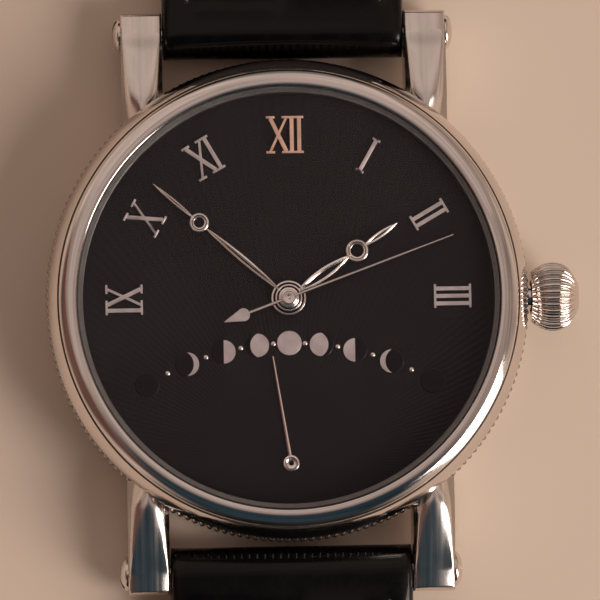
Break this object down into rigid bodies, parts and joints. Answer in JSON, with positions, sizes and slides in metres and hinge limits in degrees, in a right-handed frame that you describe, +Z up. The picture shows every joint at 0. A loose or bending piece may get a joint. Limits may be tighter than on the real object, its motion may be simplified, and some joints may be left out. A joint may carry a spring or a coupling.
{
  "type": "moon phase wristwatch",
  "caption": "Round wristwatch with a fluted case band, onion crown, straight lugs, a dark dial with a retrograde moon phase arc, and an open black leather strap with a pin buckle.",
  "frame": {"origin": "centre of the plane that the case back rests on", "axes": "+Z up out of the dial, +Y towards twelve o'clock and the buckle, +X towards the crown"},
  "size_m": [0.0448, 0.2455, 0.0107],
  "materials": {
    "polished_steel": "polished",
    "plain_steel": "satin",
    "spring_steel": "satin",
    "sapphire": "clear",
    "seal_rubber": "matte",
    "plated_plate": "striped",
    "wheel_brass": "satin",
    "ruby": "polished",
    "black_dial": "satin rays",
    "applied_metal": "polished",
    "rose_gold": "polished",
    "dark_disc": "satin",
    "black_leather": "glossy"
  },
  "bodies": {
    "case": {"case_middle": "polished_steel", "bezel": "polished_steel", "crystal": "sapphire", "case_gaskets": "seal_rubber", "lugs": "polished_steel", "strap_bars": "polished_steel", "strap_bar_screws": "polished_steel", "case_back": "polished_steel", "back_crystal": "sapphire", "case_back_screws": "plain_steel", "crown_tube": "polished_steel", "movement_ring": "plated_plate", "main_plate": "plated_plate", "barrel_bridge": "plated_plate", "train_bridge": "plated_plate", "pallet_bridge": "plated_plate", "balance_cock": "plated_plate", "bridge_screws": "plain_steel", "jewels": "ruby", "dial": "black_dial", "hour_numerals": "applied_metal", "numeral_twelve": "rose_gold", "moon_discs_dark": "dark_disc", "moon_discs_lit": "applied_metal"},
    "minute": {"cannon_pinion": "plain_steel", "minute_hand": "applied_metal"},
    "minute_work": {"minute_wheel": "wheel_brass"},
    "second_wheel": {"second_wheel": "wheel_brass"},
    "third_wheel": {"third_wheel": "wheel_brass"},
    "seconds": {"fourth_wheel": "wheel_brass", "seconds_hand": "applied_metal"},
    "escape_wheel": {"escape_wheel": "plain_steel"},
    "pallet_fork": {"pallet_fork": "plain_steel"},
    "balance": {"balance_wheel": "wheel_brass", "hairspring": "spring_steel"},
    "barrel": {"barrel": "wheel_brass", "mainspring": "spring_steel"},
    "hour": {"hour_wheel": "wheel_brass", "hour_hand": "applied_metal"},
    "day_wheel": {"day_wheel": "wheel_brass"},
    "moon": {"moon_hand": "applied_metal"},
    "moon_rack": {"moon_rack": "wheel_brass"},
    "moon_cam": {"moon_cam": "wheel_brass"},
    "rotor": {"rotor": "plated_plate"},
    "winding": {"winding_pinion": "plain_steel"},
    "crown": {"crown": "polished_steel", "winding_stem": "plain_steel", "crown_gasket": "seal_rubber"},
    "clutch": {"sliding_clutch": "plain_steel"},
    "crown_wheel": {"crown_wheel": "plain_steel"},
    "ratchet": {"ratchet_wheel": "plain_steel"},
    "setting_lever": {"setting_lever": "plain_steel"},
    "yoke": {"yoke": "plain_steel"},
    "strap_upper": {"strap_short": "black_leather", "fixed_keeper": "black_leather"},
    "keeper": {"free_keeper": "black_leather"},
    "buckle": {"buckle_frame": "polished_steel", "buckle_pin": "polished_steel"},
    "tongue": {"buckle_tongue": "polished_steel"},
    "strap_lower": {"strap_long": "black_leather"}
  },
  "joints": [
    {"name": "minute_hand", "type": "hinge", "parent": "case", "child": "minute", "pos_m": [0, 0, 0.00625], "axis": [0, 0, -1], "continuous": true},
    {"name": "minute_wheel", "type": "hinge", "parent": "case", "child": "minute_work", "pos_m": [-0.00198, 0.00212, 0.00625], "axis": [0, 0, -1], "continuous": true},
    {"name": "second_wheel", "type": "hinge", "parent": "case", "child": "second_wheel", "pos_m": [-0.00044, 0.00458, 0.00422], "axis": [0, 0, -1], "continuous": true},
    {"name": "third_wheel", "type": "hinge", "parent": "case", "child": "third_wheel", "pos_m": [-0.0036, 0.00135, 0.00422], "axis": [0, 0, -1], "continuous": true},
    {"name": "seconds_hand", "type": "hinge", "parent": "case", "child": "seconds", "pos_m": [0, 0, 0.00422], "axis": [0, 0, -1], "continuous": true},
    {"name": "escape_wheel", "type": "hinge", "parent": "case", "child": "escape_wheel", "pos_m": [0.0019, -0.00272, 0.00422], "axis": [0, 0, -1], "continuous": true},
    {"name": "pallet_fork", "type": "hinge", "parent": "case", "child": "pallet_fork", "pos_m": [0.00401, -0.00449, 0.0045], "axis": [0, 0, 1], "range_deg": [-5, 5]},
    {"name": "balance", "type": "hinge", "parent": "case", "child": "balance", "pos_m": [0.00561, -0.00726, 0.00422], "axis": [0, 0, 1], "range_deg": [-150, 150]},
    {"name": "barrel", "type": "hinge", "parent": "case", "child": "barrel", "pos_m": [0.0052, 0.007, 0.00422], "axis": [0, 0, -1], "continuous": true},
    {"name": "hour_hand", "type": "hinge", "parent": "case", "child": "hour", "pos_m": [0, 0, 0.00625], "axis": [0, 0, -1], "continuous": true},
    {"name": "day_wheel", "type": "hinge", "parent": "case", "child": "day_wheel", "pos_m": [-0.00568, -0.00398, 0.00625], "axis": [0, 0, -1], "continuous": true},
    {"name": "moon_hand", "type": "hinge", "parent": "case", "child": "moon", "pos_m": [0, -0.0137, 0.00625], "axis": [0, 0, 1], "range_deg": [-69.5, 51.7]},
    {"name": "moon_rack", "type": "hinge", "parent": "case", "child": "moon_rack", "pos_m": [-0.00426, -0.01124, 0.00625], "axis": [0, 0, 1], "range_deg": [-8.7, 11.7]},
    {"name": "moon_cam", "type": "hinge", "parent": "case", "child": "moon_cam", "pos_m": [-0.00062, -0.00873, 0.00625], "axis": [0, 0, 1], "range_deg": [-198.5, 148]},
    {"name": "rotor", "type": "hinge", "parent": "case", "child": "rotor", "pos_m": [0, 0, 0.0018], "axis": [0, 0, 1], "continuous": true},
    {"name": "crown_turn", "type": "hinge", "parent": "case", "child": "winding", "pos_m": [0.00895, 0, 0.0043], "axis": [1, 0, 0], "continuous": true},
    {"name": "crown_pull", "type": "slide", "parent": "winding", "child": "crown", "axis": [1, 0, 0], "range_m": [0, 0.0012]},
    {"name": "clutch_shift", "type": "slide", "parent": "winding", "child": "clutch", "axis": [1, 0, 0], "range_m": [-0.0006, 0]},
    {"name": "crown_wheel", "type": "hinge", "parent": "case", "child": "crown_wheel", "pos_m": [0.00766, 0, 0.00235], "axis": [0, 0, 1], "continuous": true},
    {"name": "ratchet_wheel", "type": "hinge", "parent": "case", "child": "ratchet", "pos_m": [0.0052, 0.007, 0.00235], "axis": [0, 0, 1], "continuous": true},
    {"name": "setting_lever", "type": "hinge", "parent": "case", "child": "setting_lever", "pos_m": [0.0116, -0.0056, 0.00417], "axis": [0, 0, 1], "range_deg": [-13.02, 0]},
    {"name": "yoke", "type": "hinge", "parent": "case", "child": "yoke", "pos_m": [0.008, -0.0034, 0.00417], "axis": [0, 0, 1], "range_deg": [0, 12.15]},
    {"name": "strap_upper", "type": "hinge", "parent": "case", "child": "strap_upper", "pos_m": [0, 0.02265, 0.003], "axis": [1, 0, 0], "range_deg": [-70, 25]},
    {"name": "strap_lower", "type": "hinge", "parent": "case", "child": "strap_lower", "pos_m": [0, -0.02265, 0.003], "axis": [-1, 0, 0], "range_deg": [-70, 25]},
    {"name": "buckle", "type": "hinge", "parent": "strap_upper", "child": "buckle", "pos_m": [0, 0.09765, 0.0021], "axis": [1, 0, 0], "range_deg": [-60, 60]},
    {"name": "tongue", "type": "hinge", "parent": "buckle", "child": "tongue", "pos_m": [0, 0.09765, 0.0021], "axis": [1, 0, 0], "range_deg": [0, 70]},
    {"name": "free_keeper", "type": "slide", "parent": "strap_upper", "child": "keeper", "axis": [0, 1, 0], "range_m": [-0.01, 0.008]}
  ],
  "couplings": [
    {"joint": "minute_wheel", "follows": "minute_hand", "ratio": -0.33333},
    {"joint": "second_wheel", "follows": "minute_hand", "ratio": 1},
    {"joint": "third_wheel", "follows": "minute_hand", "ratio": -8},
    {"joint": "seconds_hand", "follows": "minute_hand", "ratio": 60},
    {"joint": "escape_wheel", "follows": "minute_hand", "ratio": -600},
    {"joint": "barrel", "follows": "minute_hand", "ratio": -0.13333},
    {"joint": "hour_hand", "follows": "minute_hand", "ratio": 0.083333},
    {"joint": "day_wheel", "follows": "minute_hand", "ratio": -0.041667},
    {"joint": "moon_rack", "follows": "moon_hand", "ratio": -0.16667},
    {"joint": "moon_cam", "follows": "moon_hand", "ratio": 2.8465},
    {"joint": "crown_wheel", "follows": "crown_turn", "ratio": 0.4},
    {"joint": "ratchet_wheel", "follows": "crown_turn", "ratio": -0.27273},
    {"joint": "clutch_shift", "follows": "crown_pull", "ratio": -0.5},
    {"joint": "setting_lever", "follows": "crown_pull", "rad_per_m": -189.24},
    {"joint": "yoke", "follows": "crown_pull", "rad_per_m": 176.64}
  ]
}
